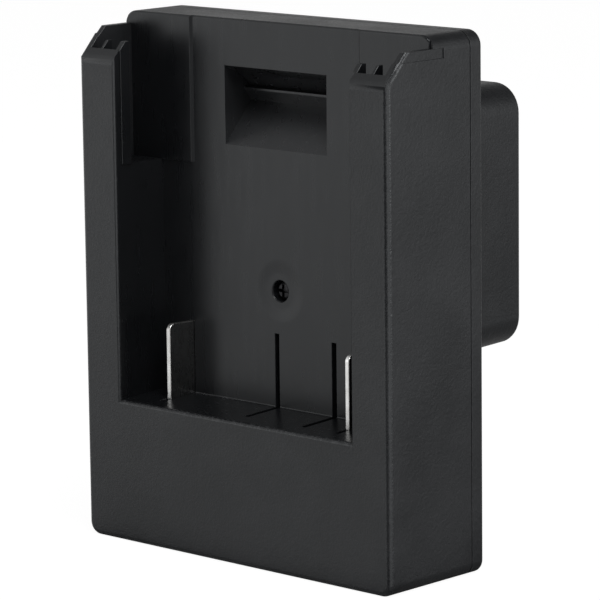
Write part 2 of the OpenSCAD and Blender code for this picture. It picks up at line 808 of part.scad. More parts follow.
// Moulded insert in the rear wall of the box
module output_socket() {
    color(carrier_color) difference() {
        union() {
            slab(board_back, rear_y - seam)
                rounded_outline(socket_rim_w, box_mid_z - socket_rim_h / 2, box_mid_z + socket_rim_h / 2,
                    socket_wall - fit, socket_wall - fit);
            slab(rear_inner - socket_flange_t, rear_inner)
                rounded_outline(socket_rim_w + 2 * socket_flange, box_mid_z - socket_rim_h / 2 - socket_flange,
                    box_mid_z + socket_rim_h / 2 + socket_flange, least_r, least_r);
        }
        block([-socket_w / 2, board_back + socket_floor_t, box_mid_z - socket_h / 2],
            [socket_w / 2, rear_y + past, box_mid_z + socket_h / 2]);
        for (x = [-tab_pitch / 2, tab_pitch / 2])
            block([x - tab_t / 2 - slot_gap, board_back - past, box_mid_z - tab_w / 2 - slot_gap],
                [x + tab_t / 2 + slot_gap, rear_y, box_mid_z + tab_w / 2 + slot_gap]);
    }
}

// Output tab: soldered in the board, with chamfered corners at its free end
module output_tab(x) {
    nose = 0.8;
    end = rear_y - tab_setback;
    low = box_mid_z - tab_w / 2;
    high = box_mid_z + tab_w / 2;
    color(plated_color) across(x - tab_t / 2, x + tab_t / 2)
        polygon([[board_front - tab_stub, low], [end - nose, low], [end, low + nose], [end, high - nose],
            [end - nose, high], [board_front - tab_stub, high]]);
}

module positive_output_contact() {
    output_tab(tab_pitch / 2);
}

module negative_output_contact() {
    output_tab(-tab_pitch / 2);
}

front_housing();
back_cover();
contact_carrier();
positive_blade();
negative_blade();
carrier_screw();
cover_screws();
circuit_board();
board_screws();
positive_lead();
negative_lead();
fuse();
fuse_clips();
filter_capacitor();
cutoff_transistor();
control_chip();
sense_resistor();
protection_diode();
output_socket();
positive_output_contact();
negative_output_contact();
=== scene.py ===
"""Looks of the tool battery adapter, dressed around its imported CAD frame.

Lengths in the settings are millimetres and are turned into Blender's metres by MM.
"""

import math

import bmesh
import bpy
from mathutils import Matrix, Vector
from mathutils.bvhtree import BVHTree


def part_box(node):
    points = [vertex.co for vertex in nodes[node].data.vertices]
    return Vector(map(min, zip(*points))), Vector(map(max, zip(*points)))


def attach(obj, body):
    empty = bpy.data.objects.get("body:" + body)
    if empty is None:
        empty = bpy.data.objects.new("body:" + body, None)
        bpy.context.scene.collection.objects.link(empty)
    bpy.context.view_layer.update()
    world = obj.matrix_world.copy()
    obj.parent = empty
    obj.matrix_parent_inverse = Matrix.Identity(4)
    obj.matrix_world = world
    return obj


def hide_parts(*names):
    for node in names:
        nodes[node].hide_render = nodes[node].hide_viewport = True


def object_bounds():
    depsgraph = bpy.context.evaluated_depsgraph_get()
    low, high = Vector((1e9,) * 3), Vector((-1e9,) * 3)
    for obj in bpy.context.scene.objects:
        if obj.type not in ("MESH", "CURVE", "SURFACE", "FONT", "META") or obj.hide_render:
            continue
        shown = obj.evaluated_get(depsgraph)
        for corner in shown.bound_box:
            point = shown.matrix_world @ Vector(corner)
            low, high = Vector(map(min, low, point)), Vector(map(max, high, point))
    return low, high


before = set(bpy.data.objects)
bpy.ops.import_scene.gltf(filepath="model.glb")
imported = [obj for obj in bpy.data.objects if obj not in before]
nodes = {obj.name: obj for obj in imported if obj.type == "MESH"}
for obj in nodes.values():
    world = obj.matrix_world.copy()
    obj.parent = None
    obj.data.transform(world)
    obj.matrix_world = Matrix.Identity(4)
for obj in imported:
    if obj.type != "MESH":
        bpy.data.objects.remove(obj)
cad_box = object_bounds()

MM = 0.001


# Planes of the object, taken from the frame

def corners(node):
    """Low and high corner of a node's box, in millimetres."""
    low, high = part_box(node)
    return low / MM, high / MM


housing_low, housing_high = corners("front_housing")
cover_high = corners("back_cover")[1]

HALF_WIDTH = housing_high.x
FRONT = housing_low.y
SEAM = housing_high.y
TOP = housing_high.z
BACK_PLANE = -FRONT
REAR = cover_high.y
BAY_DEPTH = 14.0
BAY_HALF = 33.0
BAY_FLOOR = 30.4
FLOOR_RISE = 0.6
WALL = FRONT + BAY_DEPTH
FOOT_CORNER = 2.8
CROWN_CORNER = 3.2
LATCH_HALF = 14.3
LATCH_LOW = TOP - 26.3
RAMP_DEPTH = 4.7
RAMP_HEIGHT = 5.7
LIP_DEPTH = 6.0
LEDGE_HEIGHT = 11.4
CEILING_HEIGHT = 4.2
SCREW_X = 0.8
SCREW_Z = 55.6
PAD_HEIGHT = 0.45
PAD_WIDTH = 9.6
RAIL_TOP = TOP - 4.7
LEAD_IN_HEIGHT = 4.0
LEAD_IN_DEPTH = 3.7
TIP_TOP = RAIL_TOP + 2.0
TIP_INSET = 0.25
TIP_DEPTH = 2.1
BOX_HALF = 35.0
BOX_TOP = TOP - 13.6
BOX_HEIGHT = 54.5
BOX_CORNER = 6.0
SOCKET_HALF = 17.0
RIM_BEVEL = 0.35
NEAR = 0.05

# Radii that a mould maker leaves on the edges

FRONT_RADIUS = 1.2
RIM_RADIUS = 1.0
LEAD_IN_RADIUS = 1.1
TIP_RADIUS = 0.8
BREAK_RADIUS = 3.2
PLATE_RADIUS = 0.55
BOX_RADIUS = 1.0
MOUTH_RADIUS = 0.7
HOLLOW_RADIUS = 0.25
FINE_RADIUS = 0.12
CONTACT_RADIUS = 0.2
LEAST_RADIUS = 0.03
ARC_STEPS = 6
FINE_STEPS = 3

# Limits for telling edges apart and for welding the CAD triangles

SHARP_ANGLE = math.radians(22)
SMOOTH_TURN = math.cos(math.radians(34))
AREA_POWER = 3
FLAT_ANGLE = math.radians(0.4)
WELD = 0.002
ROOM_LIMIT = 5.0
ROOM_SHARE = 0.42
COLLINEAR = 0.85
SLOPED = 0.4
GRAZING = -0.2
RIM_REACH = 1.0

# Camera, found from the straight edges of the photograph

IMAGE_SIZE = 600
FOCAL_PIXELS = 3746.2
SENSOR = 36.0
CAMERA_PLACE = Vector((525.35, -552.78, 190.24))
AZIMUTH = math.radians(43.207)
ELEVATION = math.radians(10.168)
ROLL = math.radians(-0.691)
HALF_PIXEL = 0.5 / IMAGE_SIZE
CAMERA_REACH = 100


# Shader helpers

def new_material(name):
    """A material with its node tree and its shader."""
    material = bpy.data.materials.new(name)
    material.use_nodes = True
    tree = material.node_tree
    return material, tree, tree.nodes["Principled BSDF"]


def add(tree, kind, **settings):
    """A new shader node with its settings."""
    node = tree.nodes.new("ShaderNode" + kind)
    for key, value in settings.items():
        setattr(node, key, value)
    return node


def link(tree, output, target):
    """Joins an output socket to an input socket."""
    tree.links.new(output, target)


def place(tree, scale=(1, 1, 1)):
    """Coordinates in the row frame, stretched by scale."""
    coordinates = add(tree, "TexCoord")
    mapping = add(tree, "Mapping")
    mapping.inputs["Scale"].default_value = scale
    link(tree, coordinates.outputs["Object"], mapping.inputs["Vector"])
    return mapping.outputs["Vector"]


def noise(tree, vector, size, detail=3.0, roughness=0.55):
    """Noise whose features are about size millimetres across."""
    texture = add(tree, "TexNoise")
    texture.inputs["Scale"].default_value = 1 / (size * MM)
    texture.inputs["Detail"].default_value = detail
    texture.inputs["Roughness"].default_value = roughness
    link(tree, vector, texture.inputs["Vector"])
    return texture.outputs["Fac"]


def remap(tree, value, low, high, to_low, to_high):
    """The value moved from one range to another, and kept inside it."""
    ramp = add(tree, "MapRange", clamp=True)
    ramp.inputs["From Min"].default_value = low
    ramp.inputs["From Max"].default_value = high
    ramp.inputs["To Min"].default_value = to_low
    ramp.inputs["To Max"].default_value = to_high
    link(tree, value, ramp.inputs["Value"])
    return ramp.outputs["Result"]


def combine(tree, operation, first, second):
    """Two sockets, or a socket and a number, joined by a math node."""
    node = add(tree, "Math", operation=operation)
    for value, target in ((first, node.inputs[0]), (second, node.inputs[1])):
        if isinstance(value, (int, float)):
            target.default_value = value
        else:
            link(tree, value, target)
    return node.outputs["Value"]


def blend(tree, factor, first, second):
    """Colour mixed by factor; first and second are colours or sockets."""
    node = add(tree, "Mix", data_type="RGBA")
    link(tree, factor, node.inputs["Factor"])
    for value, target in ((first, node.inputs["A"]), (second, node.inputs["B"])):
        if isinstance(value, tuple):
            target.default_value = (*value, 1.0)
        else:
            link(tree, value, target)
    return node.outputs["Result"]


def attribute(tree, name):
    """A face attribute of the mesh."""
    node = add(tree, "Attribute", attribute_name=name)
    return node.outputs["Fac"]


def bump(tree, height, strength, depth, under=None):
    """Relief of depth millimetres."""
    node = add(tree, "Bump")
    node.inputs["Strength"].default_value = strength
    node.inputs["Distance"].default_value = depth * MM
    link(tree, height, node.inputs["Height"])
    if under is not None:
        link(tree, under, node.inputs["Normal"])
    return node.outputs["Normal"]


# Materials

SINK_INNER = 3.4
SINK_OUTER = 6.8
SINK_DEPTH = 0.3
PEBBLE_SIZE = 1.6
PEBBLE_DEPTH = 0.06
GRAIN_SIZE = 0.5
GRAIN_DEPTH = 0.08
GRAIN_SPREAD = 0.04
MOTTLE_SIZE = 9.0
FILM_SIZE = 24.0
HANDLED_SIZE = 26.0
HANDLED_SPREAD = 0.035
SPECK_SIZE = 0.7
FLOW_SIZE = 1.6
FLOW_STRETCH = (1, 1, 0.12)
SATIN_FILM = 0.1
SATIN_RELIEF = 0.04
WORN_HIGHLIGHT_LEAST = 0.25
WORN_FULL = 0.2
WORN_POLISH = 0.6
WORN_RELIEF = 0.5
MOULD_ROUGHNESS = (0.35, 0.41)
SATIN_ROUGHNESS = (0.27, 0.32)
DARK_PLASTIC = (0.0050, 0.0054, 0.0062)
PALE_PLASTIC = (0.0070, 0.0074, 0.0084)
FILM_COLOUR = (0.0125, 0.0130, 0.0142)
# Painted light: the latch recess takes this paler colour in place of light that reaches into it
RECESS_PAINTED_LIGHT = (0.0150, 0.0155, 0.0168)
# Paler edge colour: real rubbing and a painted highlight on the rounded edges
WORN_HIGHLIGHT_COLOUR = (0.034, 0.035, 0.037)
COOL_GLOSS = (0.95, 0.98, 1.0, 1)
MOULD_IOR = 1.46
PLAIN_IOR = 1.48
PLAIN_MOTTLE = 3.0
PLAIN_SPREAD = 0.07
STREAK_SIZE = 0.35
STREAK_SPREAD = 0.05
STREAK_DEPTH = 0.002
TARNISH_SIZE = 2.2
TARNISH_DULL = 0.08

# Parts of the noise's range that are stretched over an effect
WIDE = (0.3, 0.7)
CLOSE = (0.35, 0.65)
TIGHT = (0.36, 0.64)
SPECKS = (0.48, 0.62)
TARNISHED = (0.35, 0.72)


def sink_mark(tree, vector):
    """Shallow sink in the bay's wall round the carrier screw: 0 at its middle, 1 outside."""
    centred = add(tree, "Mapping", vector_type="POINT")
    centred.inputs["Location"].default_value = (-SCREW_X * MM, 0, -SCREW_Z * MM)
    centred.inputs["Scale"].default_value = (1, 0, 1)
    link(tree, vector, centred.inputs["Vector"])
    radius = add(tree, "VectorMath", operation="LENGTH")
    link(tree, centred.outputs["Vector"], radius.inputs[0])
    sink = add(tree, "MapRange", clamp=True, interpolation_type="SMOOTHSTEP")
    sink.inputs["From Min"].default_value = SINK_INNER * MM
    sink.inputs["From Max"].default_value = SINK_OUTER * MM
    link(tree, radius.outputs["Value"], sink.inputs["Value"])
    return sink.outputs["Result"]


def housing_plastic():
    """Black moulded plastic: spark-eroded outside, satin in the bay, paler on rubbed edges, which also carry
    a painted highlight, and paler in the latch recess, where painted light lifts it.
    """
    material, tree, shader = new_material("housing_plastic")
    vector = place(tree)
    satin = attribute(tree, "satin")
    wear_and_highlight = attribute(tree, "edge_wear_and_highlight")
    mottle = noise(tree, vector, MOTTLE_SIZE, 4.0)
    grain = noise(tree, vector, GRAIN_SIZE, 3.0, 0.6)
    pebble = noise(tree, vector, PEBBLE_SIZE, 2.0)
    speck = remap(tree, noise(tree, vector, SPECK_SIZE, 2.0), *SPECKS, 0.0, 1.0)
    flow = noise(tree, place(tree, FLOW_STRETCH), FLOW_SIZE, 2.0)

    film = remap(tree, noise(tree, vector, FILM_SIZE, 3.0), *TIGHT, 0.0, 1.0)
    tone = remap(tree, mottle, *WIDE, 0.0, 1.0)
    bare = blend(tree, tone, DARK_PLASTIC, PALE_PLASTIC)
    film = combine(tree, "MULTIPLY", film, remap(tree, satin, 0.0, 1.0, 1.0, SATIN_FILM))
    body = blend(tree, film, bare, FILM_COLOUR)
    # Painted light in the latch recess
    body = blend(tree, attribute(tree, "recess_painted_light"), body, RECESS_PAINTED_LIGHT)
    # Paler rounded edges with specks: real rubbing, and also a painted highlight and painted glints
    worn_and_glint = combine(tree, "MULTIPLY", wear_and_highlight, remap(tree, speck, 0.0, 1.0, WORN_HIGHLIGHT_LEAST, 1.0))
    link(tree, blend(tree, worn_and_glint, body, WORN_HIGHLIGHT_COLOUR), shader.inputs["Base Color"])

    handled = remap(tree, noise(tree, vector, HANDLED_SIZE, 3.0), *CLOSE, -HANDLED_SPREAD, HANDLED_SPREAD)
    outside = combine(tree, "ADD", remap(tree, mottle, *WIDE, *MOULD_ROUGHNESS), handled)
    outside = combine(tree, "ADD", outside, remap(tree, grain, *CLOSE, -GRAIN_SPREAD, GRAIN_SPREAD))
    outside = combine(tree, "MULTIPLY", outside, remap(tree, wear_and_highlight, 0.0, WORN_FULL, 1.0, WORN_POLISH))
    inside = remap(tree, flow, *CLOSE, *SATIN_ROUGHNESS)
    mix = add(tree, "Mix", data_type="FLOAT")
    link(tree, satin, mix.inputs["Factor"])
    link(tree, outside, mix.inputs["A"])
    link(tree, inside, mix.inputs["B"])
    link(tree, mix.outputs["Result"], shader.inputs["Roughness"])

    relief = remap(tree, satin, 0.0, 1.0, 1.0, SATIN_RELIEF)
    relief = combine(tree, "MULTIPLY", relief, remap(tree, wear_and_highlight, 0.0, 1.0, 1.0, WORN_RELIEF))
    normal = bump(tree, combine(tree, "MULTIPLY", sink_mark(tree, vector), satin), 1.0, SINK_DEPTH)
    normal = bump(tree, combine(tree, "MULTIPLY", pebble, relief), 1.0, PEBBLE_DEPTH, normal)
    normal = bump(tree, combine(tree, "MULTIPLY", grain, relief), 1.0, GRAIN_DEPTH, normal)
    link(tree, normal, shader.inputs["Normal"])
    shader.inputs["IOR"].default_value = MOULD_IOR
    shader.inputs["Specular Tint"].default_value = COOL_GLOSS
    return material


def plain_plastic(name, pale, dark, rough=0.45, grain_size=0.4):
    """Moulded or sleeved part with mottled colour and fine grain."""
    material, tree, shader = new_material(name)
    vector = place(tree)
    mottle = noise(tree, vector, PLAIN_MOTTLE, 4.0)
    grain = noise(tree, vector, grain_size, 3.0)
    tone = remap(tree, mottle, *WIDE, 0.0, 1.0)
    link(tree, blend(tree, tone, dark, pale), shader.inputs["Base Color"])
    roughness = remap(tree, grain, *WIDE, rough - PLAIN_SPREAD, rough + PLAIN_SPREAD)
    link(tree, roughness, shader.inputs["Roughness"])
    link(tree, bump(tree, grain, 0.3, 0.02), shader.inputs["Normal"])
    shader.inputs["IOR"].default_value = PLAIN_IOR
    return material


def metal(name, pale, dark, dull, rough=0.28, stretch=(1, 1, 0.1)):
    """Plated metal: bright cut edges, dull flat sheet faces, partly their own finish and partly painted
    shade, and streaks with faint tarnish.
    """
    material, tree, shader = new_material(name)
    streak = noise(tree, place(tree, stretch), STREAK_SIZE, 4.0, 0.6)
    tarnish = remap(tree, noise(tree, place(tree), TARNISH_SIZE, 4.0), *TARNISHED, 0.0, 1.0)
    shader.inputs["Metallic"].default_value = 1.0
    bright = blend(tree, tarnish, pale, dark)
    # Flat sheet sides take the dull colour: their own finish and painted shade
    link(tree, blend(tree, attribute(tree, "rolled_and_shaded"), bright, dull), shader.inputs["Base Color"])
    brushed = remap(tree, streak, *WIDE, rough - STREAK_SPREAD, rough + STREAK_SPREAD)
    roughness = combine(tree, "ADD", brushed, remap(tree, tarnish, 0.0, 1.0, 0.0, TARNISH_DULL))
    link(tree, roughness, shader.inputs["Roughness"])
    link(tree, bump(tree, streak, 0.3, STREAK_DEPTH), shader.inputs["Normal"])
    return material


PLASTIC = housing_plastic()
CARRIER = plain_plastic("carrier_plastic", (0.014, 0.014, 0.015), (0.009, 0.009, 0.010), 0.42)
PLATED = metal("plated_contact", (0.88, 0.88, 0.87), (0.72, 0.71, 0.69), (0.29, 0.29, 0.29), 0.26)
TURNED = (1, 0.2, 1)
STEEL = metal("screw_steel", (0.34, 0.34, 0.35), (0.20, 0.20, 0.21), (0.30, 0.30, 0.31), 0.34, TURNED)
BLACKENED = metal("blackened_steel", (0.045, 0.045, 0.047), (0.02, 0.02, 0.021), (0.03, 0.03, 0.03), 0.36,
                  TURNED)
LAMINATE = plain_plastic("board_laminate", (0.020, 0.115, 0.055), (0.014, 0.080, 0.038), 0.36, 0.25)
RED = plain_plastic("red_insulation", (0.42, 0.022, 0.018), (0.32, 0.015, 0.012), 0.5)
BLACK = plain_plastic("black_insulation", (0.016, 0.016, 0.016), (0.010, 0.010, 0.010), 0.5)
CERAMIC = plain_plastic("fuse_ceramic", (0.66, 0.63, 0.55), (0.56, 0.53, 0.46), 0.4)
SLEEVE = plain_plastic("capacitor_sleeve", (0.045, 0.052, 0.11), (0.032, 0.038, 0.085), 0.32)
CHIP = plain_plastic("chip_plastic", (0.013, 0.013, 0.013), (0.008, 0.008, 0.008), 0.55)


# Rounded copies of CAD nodes

def tree_of(name):
    """Search tree over a node's surface."""
    mesh = bmesh.new()
    mesh.from_mesh(nodes[name].data)
    found = BVHTree.FromBMesh(mesh)
    mesh.free()
    return found


OUTER = [tree_of(name) for name in ("front_housing", "back_cover", "output_socket", "contact_carrier")]
STEPS = (-1, 0, 1)
GRID = [Vector((x, y, z)) for x in STEPS for y in STEPS for z in STEPS]
LOOKS = [look.normalized() for look in GRID if look.length > 0]
LIFT = 0.05 * MM


def seen(point, normal):
    """True where a point on the surface can be seen from outside in at least one direction."""
    start = point + normal * LIFT
    for look in LOOKS:
        if look.dot(normal) > GRAZING and not any(found.ray_cast(start, look)[0] for found in OUTER):
            return True
    return False


def room(edge):
    """The largest radius that the short edges beside this one leave space for, in millimetres."""
    along = (edge.verts[1].co - edge.verts[0].co).normalized()
    least = ROOM_LIMIT
    for vert in edge.verts:
        for other in vert.link_edges:
            if other is edge:
                continue
            span = other.other_vert(vert).co - vert.co
            if span.length > 0 and abs(span.normalized().dot(along)) < COLLINEAR:
                least = min(least, span.length / MM * ROOM_SHARE)
    return least


def edge_facts(edge):
    """Middle of an edge, and the normals of its two faces."""
    middle = (edge.verts[0].co + edge.verts[1].co) / 2
    return middle, edge.link_faces[0].normal, edge.link_faces[1].normal


def welded(node):
    """The node's surface with its triangles merged back into flat faces."""
    mesh = bmesh.new()
    mesh.from_mesh(nodes[node].data)
    bmesh.ops.remove_doubles(mesh, verts=mesh.verts, dist=WELD * MM)
    bmesh.ops.dissolve_limit(mesh, angle_limit=FLAT_ANGLE, verts=mesh.verts, edges=mesh.edges)
    mesh.normal_update()
    return mesh


def even_chains(radii):
    """Edges that run on into each other get the smallest radius found along them."""
    chain = {edge: edge for edge in radii}

    def root(edge):
        """The edge that stands for this one's chain."""
        while chain[edge] is not edge:
            edge = chain[edge]
        return edge

    for edge in radii:
        along = (edge.verts[1].co - edge.verts[0].co).normalized()
        for vert in edge.verts:
            for other in vert.link_edges:
                if other is edge or other not in radii:
                    continue
                span = (other.other_vert(vert).co - vert.co).normalized()
                if abs(span.dot(along)) > COLLINEAR:
                    chain[root(other)] = root(edge)
    least = {}
    for edge, radius in radii.items():
        least[root(edge)] = min(radius, least.get(root(edge), radius))
    return {edge: least[root(edge)] for edge in radii}


def apply_modifiers(piece):
    """The piece's modifiers made part of its mesh."""
    depsgraph = bpy.context.evaluated_depsgraph_get()
    result = bpy.data.meshes.new_from_object(piece.evaluated_get(depsgraph), depsgraph=depsgraph)
    plain = piece.data
    piece.modifiers.clear()
    piece.data = result
    bpy.data.meshes.remove(plain)


def new_piece(name, mesh):
    """An object made from a bmesh, which is freed."""
    data = bpy.data.meshes.new(name)
    mesh.to_mesh(data)
    mesh.free()
    piece = bpy.data.objects.new(name, data)
    bpy.context.scene.collection.objects.link(piece)
    return piece


def fillet_section(first, second, radius, spare):
    """Outline of what a round edge takes away, as offsets from the sharp edge.

    first and second are unit vectors along the two faces, away from the edge.
    """
    half = first.angle(second) / 2
    reach = radius / math.tan(half)
    centre = (first + second).normalized() * (radius / math.sin(half))
    start = first * reach - centre
    end = second * reach - centre
    arc = [centre + start.slerp(end, k / ARC_STEPS) * radius for k in range(ARC_STEPS + 1)]
    out_first = -(second - first * second.dot(first)).normalized()
    out_second = -(first - second * first.dot(second)).normalized()
    return arc + [second * reach + out_second * spare, (out_first + out_second) * spare,
                  first * reach + out_first * spare]


def fillet_cutter(path, radius, spare=1.0, closed=False):
    """Solid that rounds a sharp edge.

    path lists points in millimetres, each with the directions of its two faces.
    """
    mesh = bmesh.new()
    rings = []
    for point, first, second in path:
        section = fillet_section(first, second, radius, spare)
        rings.append([mesh.verts.new((point + offset) * MM) for offset in section])
    count = len(rings[0])
    next_rings = rings[1:] + rings[:1] if closed else rings[1:]
    for ring, following in zip(rings, next_rings):
        for k in range(count):
            after = (k + 1) % count
            mesh.faces.new((ring[k], ring[after], following[after], following[k]))
    if not closed:
        mesh.faces.new(rings[0])
        mesh.faces.new(rings[-1])
    bmesh.ops.recalc_face_normals(mesh, faces=mesh.faces)
    return new_piece("cutter", mesh)


SEAM_GAP = 0.001


def close_seams(data):
    """Joins the doubled points that a cut leaves."""
    mesh = bmesh.new()
    mesh.from_mesh(data)
    bmesh.ops.remove_doubles(mesh, verts=mesh.verts, dist=SEAM_GAP * MM)
    bmesh.ops.dissolve_degenerate(mesh, dist=SEAM_GAP * MM, edges=mesh.edges)
    mesh.to_mesh(data)
    mesh.free()


def cut_away(piece, cutters):
    """Takes the cutters' volume from the piece, and removes the cutters."""
    for cutter in cutters:
        for material in piece.data.materials:
            cutter.data.materials.append(material)
        cutter.data.polygons.foreach_set("material_index", [CUT_FACE] * len(cutter.data.polygons))
        cut = piece.modifiers.new("round_edge", "BOOLEAN")
        cut.operation = "DIFFERENCE"
        cut.solver = "EXACT"
        cut.object = cutter
    apply_modifiers(piece)
    close_seams(piece.data)
    for cutter in cutters:
        data = cutter.data
        bpy.data.objects.remove(cutter)
        bpy.data.meshes.remove(data)


# Material places that tell faces apart while a piece is made, and how rubbed each kind of face is and how
# strong its painted edge highlight is
FINE_FACE = 1
CUT_FACE = 2
WEAR_AND_HIGHLIGHT = {0: 0.0, FINE_FACE: 0.8, CUT_FACE: 0.2}
INNER_WEAR_AND_HIGHLIGHT = 0.4
ROLLED_SHADED_TURN = 0.95

# Limits of the bay and of the latch recess, for telling their faces apart
GROOVE_REACH = 8.05
RECESS_START = WALL + 0.5
RECESS_LIMIT = TOP - 8


def in_bay(middle):
    """True for the polished faces: the bay's walls, its floor, the hook grooves and the latch recess."""
    across = abs(middle.x) < BAY_HALF + GROOVE_REACH
    return across and FRONT + NEAR < middle.y < SEAM - NEAR and BAY_FLOOR - NEAR < middle.z < TOP - NEAR


def in_recess(middle):
    """True for the faces inside of the latch recess."""
    across = abs(middle.x) < LATCH_HALF + NEAR
    return across and middle.y > RECESS_START and LATCH_LOW - NEAR < middle.z < RECESS_LIMIT


def mark_faces(data):
    """Face attributes that the materials read.

    They mark rubbed edges, which also carry a painted highlight, the satin bay, the latch recess, which is
    lifted by painted light, and the flat sides of sheet metal, which are dulled partly by painted shade.
    """
    for name in ("edge_wear_and_highlight", "satin", "recess_painted_light", "rolled_and_shaded"):
        data.attributes.new(name, "FLOAT", "FACE")
    wear_and_highlight = data.attributes["edge_wear_and_highlight"]
    satin = data.attributes["satin"]
    recess_painted_light = data.attributes["recess_painted_light"]
    rolled_and_shaded = data.attributes["rolled_and_shaded"]
    for face in data.polygons:
        # Flat sides of sheet metal, dulled partly by painted shade
        rolled_and_shaded.data[face.index].value = float(abs(face.normal.x) > ROLLED_SHADED_TURN)
        inner = in_bay(face.center / MM)
        recessed = face.center.y > RECESS_START * MM and inner
        share = INNER_WEAR_AND_HIGHLIGHT if inner else 1
        # Edge rubbing and painted edge highlight; none deep in the latch recess
        wear_and_highlight.data[face.index].value = 0 if recessed else WEAR_AND_HIGHLIGHT[face.material_index] * share
        satin.data[face.index].value = float(inner)
        # Latch recess faces get painted light
        recess_painted_light.data[face.index].value = float(in_recess(face.center / MM))
        face.material_index = 0
    while len(data.materials) > 1:
        data.materials.pop(index=1)


def smooth_flats(data):
    """Smooth shading that keeps flat faces flat.

    A corner follows the largest of the faces that turn little there.
    """
    around = [[] for _ in data.vertices]
    for face in data.polygons:
        share = (face.area / MM ** 2) ** AREA_POWER
        for vert in face.vertices:
            around[vert].append((face.normal.copy(), share))
    normals = [Vector() for _ in data.loops]
    for face in data.polygons:
        for corner in face.loop_indices:
            for normal, share in around[data.loops[corner].vertex_index]:
                if normal.dot(face.normal) > SMOOTH_TURN:
                    normals[corner] += normal * share
    data.polygons.foreach_set("use_smooth", [True] * len(data.polygons))
    data.normals_split_custom_set([normal.normalized() for normal in normals])


def hollow_radius(middle):
    """Radius of an inner corner: only the bay floor's rear edge has one."""
    along_floor = abs(middle.z - BAY_FLOOR - FLOOR_RISE) < NEAR and abs(middle.y - WALL) < NEAR
    return HOLLOW_RADIUS if along_floor else 0


UNDERCUT_DEPTH = 7.7
UNDERCUT_HEIGHT = 8.5
CEILING_DEPTH = 7.6
CEILING_START = math.radians(35)
CEILING_END = math.radians(75)


def undercut_recess(mesh):
    """Draws the latch recess further in behind its lip, and slopes its ceiling."""
    ledge = LATCH_LOW + LEDGE_HEIGHT
    radius = CEILING_HEIGHT / (math.sin(CEILING_END) - math.sin(CEILING_START))
    centre_y = WALL + CEILING_DEPTH - radius * math.cos(CEILING_START)
    centre_z = ledge - radius * math.sin(CEILING_START)
    for vert in mesh.verts:
        x, y, z = vert.co / MM
        if abs(abs(x) - LATCH_HALF) > NEAR or y < WALL + NEAR:
            continue
        at_ramp_top = abs(y - WALL - RAMP_DEPTH) < NEAR and abs(z - LATCH_LOW - RAMP_HEIGHT) < NEAR
        rise = (z - ledge) / CEILING_HEIGHT
        behind_lip = y > WALL + LIP_DEPTH + NEAR and rise > -NEAR
        if at_ramp_top:
            vert.co = Vector((x, WALL + UNDERCUT_DEPTH, LATCH_LOW + UNDERCUT_HEIGHT)) * MM
        elif behind_lip or NEAR < rise < 1 + NEAR / 2:
            share = math.asin(min(max(rise, 0), 1)) / (math.pi / 2)
            angle = CEILING_START + (CEILING_END - CEILING_START) * share
            deep = centre_y + radius * math.cos(angle)
            high = centre_z + radius * math.sin(angle)
            vert.co = Vector((x, deep, high)) * MM


PAD_SLOPE = 0.58


def slope_pads(mesh):
    """Slopes the step at each pad's inner side."""
    for vert in mesh.verts:
        x, y, z = vert.co / MM
        if abs(abs(x) - BAY_HALF + PAD_WIDTH) < NEAR and abs(y - WALL + PAD_HEIGHT) < NEAR:
            vert.co.x += math.copysign(PAD_SLOPE, x) * MM


def soften_housing(mesh):
    """Reshapes the housing's recess and pads."""
    undercut_recess(mesh)
    slope_pads(mesh)


def rounded(node, material, radius_of, cutters=(), reshape=None):
    """A piece that replaces the node.

    radius_of gives each sharp edge's radius, cutters round the large edges, and reshape moves points first.
    """
    mesh = welded(node)
    if reshape:
        reshape(mesh)
        mesh.normal_update()
    weight = mesh.edges.layers.float.new("bevel_weight_edge")
    radii = {}
    for edge in mesh.edges:
        if not edge.is_manifold or edge.calc_face_angle() < SHARP_ANGLE:
            continue
        middle, first, second = edge_facts(edge)
        wanted = radius_of(middle / MM, first, second) if edge.is_convex else hollow_radius(middle / MM)
        radius = min(wanted, room(edge))
        if radius > 0 and seen(middle, (first + second).normalized()):
            radii[edge] = radius
    radii = even_chains(radii)
    largest = max(radii.values(), default=LEAST_RADIUS)
    for edge, radius in radii.items():
        if radius > LEAST_RADIUS:
            edge[weight] = radius / largest
    piece = new_piece(node + "_piece", mesh)
    for _ in WEAR_AND_HIGHLIGHT:
        piece.data.materials.append(material)
    bevel = piece.modifiers.new("rounding", "BEVEL")
    bevel.limit_method = "WEIGHT"
    bevel.width = largest * MM
    bevel.segments = FINE_STEPS
    bevel.use_clamp_overlap = False
    bevel.material = FINE_FACE
    apply_modifiers(piece)
    cut_away(piece, cutters)
    mark_faces(piece.data)
    smooth_flats(piece.data)
    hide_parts(node)
    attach(piece, "root")
    return piece


# Large round edges of the two mouldings

UP = Vector((0, 0, 1))
BACK = Vector((0, 1, 0))
CORNER_STEPS = 10
PAD_OVERLAP = 0.7
PAD_ARC = 80
RAIL_SPARE = 0.6
BREAK_SPARE = 0.4
BREAK_PAST = 1
BOX_SPARE = 3.0
RIM_SPARE = 2.0


def corner_arc(centre, radius, start, turn):
    """Points of a corner in X and Z with the direction towards its centre; angles in degrees from +X."""
    found = []
    for k in range(CORNER_STEPS + 1):
        angle = math.radians(start + turn * k / CORNER_STEPS)
        out = Vector((math.cos(angle), 0, math.sin(angle)))
        found.append((centre + out * radius, -out))
    return found


def along_edge(outline, y, inward):
    """Path for a cutter: an outline in X and Z, set at y, whose other face runs inward."""
    return [(Vector((point.x, y, point.z)), towards, inward) for point, towards in outline]


